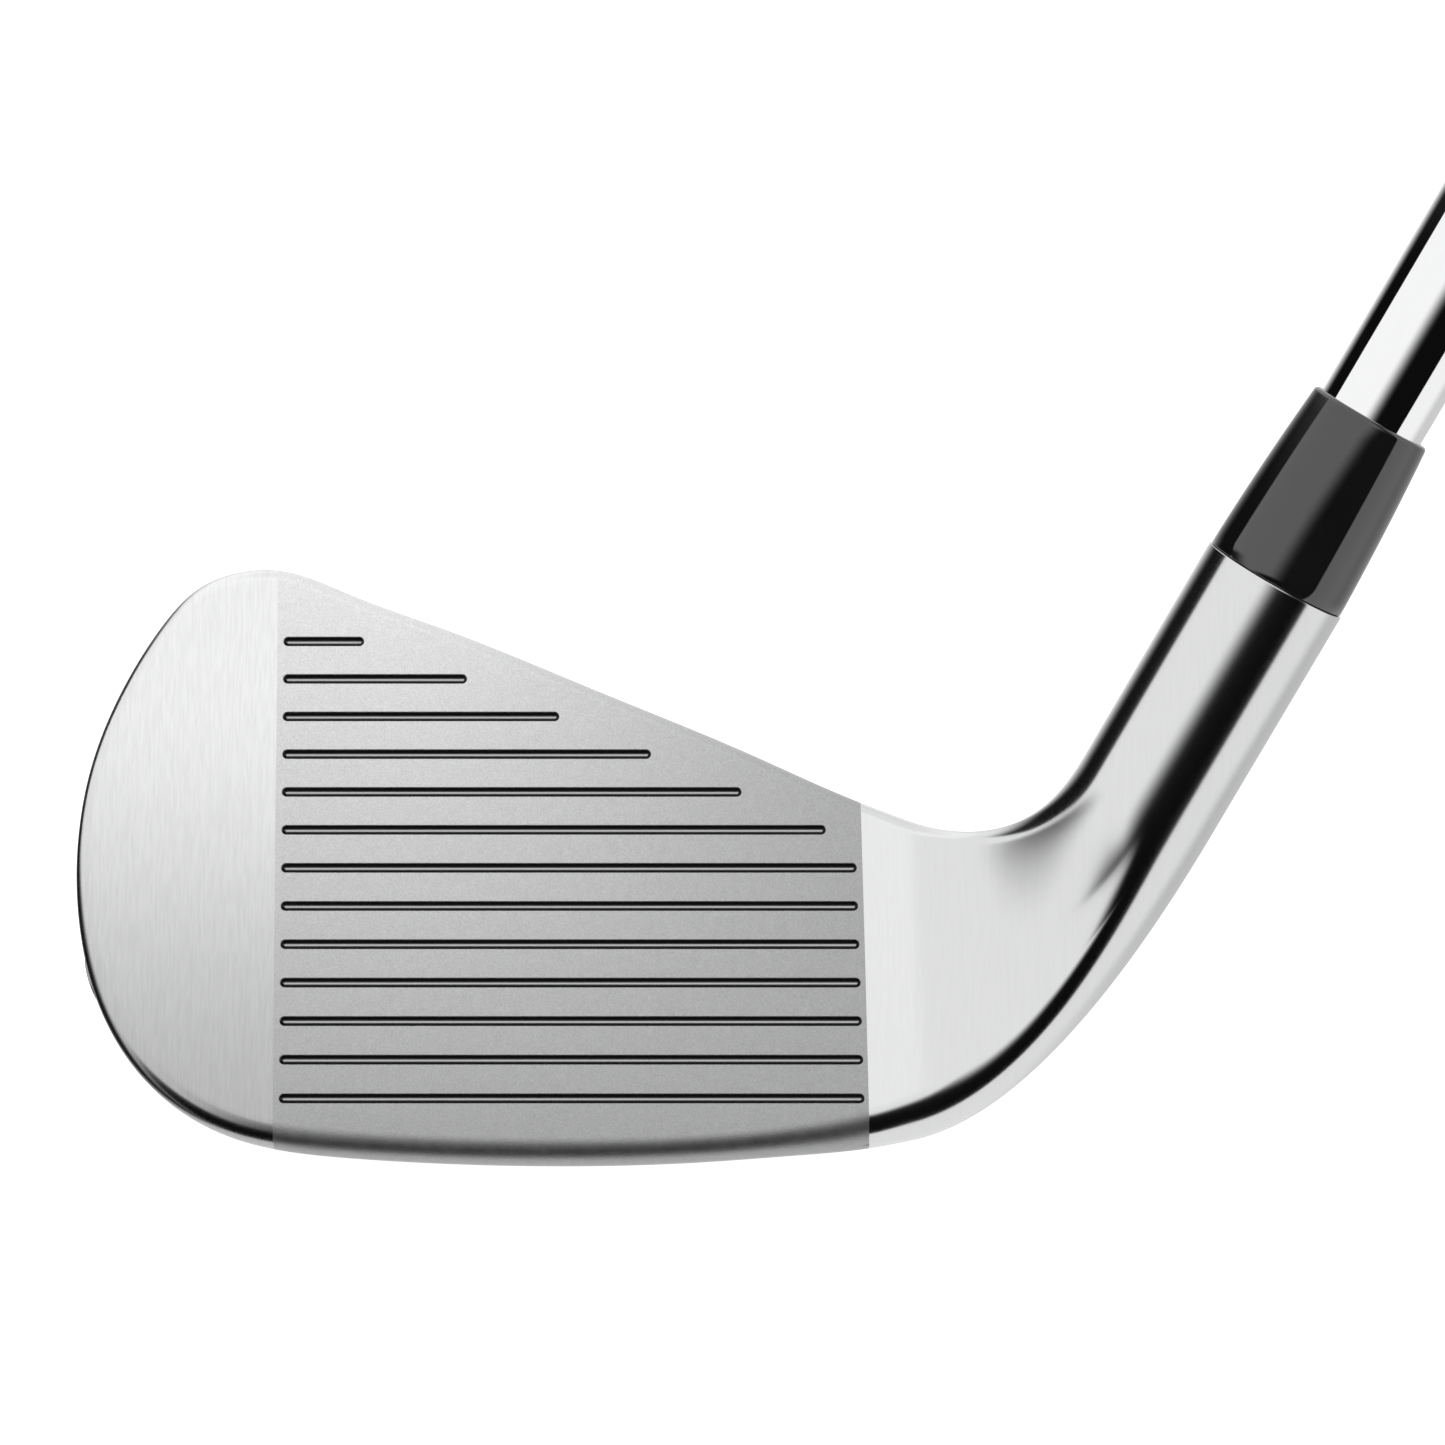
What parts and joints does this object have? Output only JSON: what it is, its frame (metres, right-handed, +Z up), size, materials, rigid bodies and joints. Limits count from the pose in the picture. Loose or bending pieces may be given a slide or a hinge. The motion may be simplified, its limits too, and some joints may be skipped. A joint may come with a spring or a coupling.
{
  "type": "iron golf club",
  "caption": "Right-handed long iron with a chromed head, blasted grooved face, black ferrule, stepped steel shaft and rubber grip.",
  "frame": {"origin": "the point of the sole that touches the ground under the middle of the face, with the club standing at address", "axes": "+X from toe to heel, the face looks to -Y, +Z up; the shaft rises towards +X at the lie angle of 60.7 degrees"},
  "size_m": [0.5721, 0.0345, 0.8638],
  "materials": {
    "polished_chrome": "polished chrome plate over cast stainless steel",
    "blasted_chrome": "fine blasted steel",
    "tungsten": "sintered",
    "core_polymer": "soft polymer",
    "pad_foam": "adhesive foam",
    "plate_dark": "dark satin plate with bright edge",
    "screw_steel": "turned steel",
    "seal_rubber": "nitrile",
    "adhesive": "set epoxy",
    "plug_brass": "turned brass",
    "ferrule_black": "gloss black",
    "shaft_chrome": "bright chrome plate",
    "band_grey": "satin film",
    "tape_paper": "paper tape",
    "grip_rubber": "matte moulded rubber",
    "cap_rubber": "smooth moulded rubber"
  },
  "bodies": {
    "root": {"head_body": "polished_chrome", "face_insert": "blasted_chrome", "toe_weight": "tungsten", "heel_weight": "tungsten", "polymer_core": "core_polymer", "back_pad": "pad_foam", "back_plate": "plate_dark", "toe_screw": "screw_steel", "screw_seal": "seal_rubber", "hosel_epoxy": "adhesive", "tip_plug": "plug_brass", "ferrule": "ferrule_black", "shaft": "shaft_chrome", "shaft_band": "band_grey", "grip_tape": "tape_paper", "grip": "grip_rubber", "grip_cap": "cap_rubber"}
  },
  "joints": []
}
